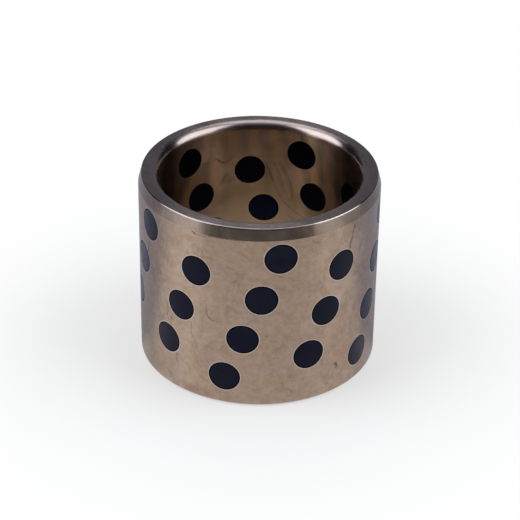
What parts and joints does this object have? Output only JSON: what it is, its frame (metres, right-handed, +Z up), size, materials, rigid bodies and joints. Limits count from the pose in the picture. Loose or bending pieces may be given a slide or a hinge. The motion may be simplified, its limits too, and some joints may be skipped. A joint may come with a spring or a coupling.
{
  "type": "graphite plugged bushing",
  "caption": "Plain cylindrical bronze sleeve bushing with staggered rings of round graphite plugs set flush through its wall, and a lead-in taper on one end.",
  "frame": {"origin": "on the bore's axis at the bottom end face", "axes": "+Z up the bore towards the end with the lead-in taper; -Y towards the side seen from the front; +X to the right of it"},
  "size_m": [0.06, 0.06, 0.05],
  "materials": {
    "bronze": "satin",
    "graphite": "satin"
  },
  "bodies": {
    "root": {"bronze_sleeve": "bronze", "graphite_plug_ring1_1": "graphite", "graphite_plug_ring1_2": "graphite", "graphite_plug_ring1_3": "graphite", "graphite_plug_ring1_4": "graphite", "graphite_plug_ring1_5": "graphite", "graphite_plug_ring2_1": "graphite", "graphite_plug_ring2_2": "graphite", "graphite_plug_ring2_3": "graphite", "graphite_plug_ring2_4": "graphite", "graphite_plug_ring2_5": "graphite", "graphite_plug_ring3_1": "graphite", "graphite_plug_ring3_2": "graphite", "graphite_plug_ring3_3": "graphite", "graphite_plug_ring3_4": "graphite", "graphite_plug_ring3_5": "graphite", "graphite_plug_ring4_1": "graphite", "graphite_plug_ring4_2": "graphite", "graphite_plug_ring4_3": "graphite", "graphite_plug_ring4_4": "graphite", "graphite_plug_ring4_5": "graphite", "graphite_plug_ring5_1": "graphite", "graphite_plug_ring5_2": "graphite", "graphite_plug_ring5_3": "graphite", "graphite_plug_ring5_4": "graphite", "graphite_plug_ring5_5": "graphite", "graphite_plug_ring6_1": "graphite", "graphite_plug_ring6_2": "graphite", "graphite_plug_ring6_3": "graphite", "graphite_plug_ring6_4": "graphite", "graphite_plug_ring6_5": "graphite", "graphite_plug_ring7_1": "graphite", "graphite_plug_ring7_2": "graphite", "graphite_plug_ring7_3": "graphite", "graphite_plug_ring7_4": "graphite", "graphite_plug_ring7_5": "graphite"}
  },
  "joints": []
}
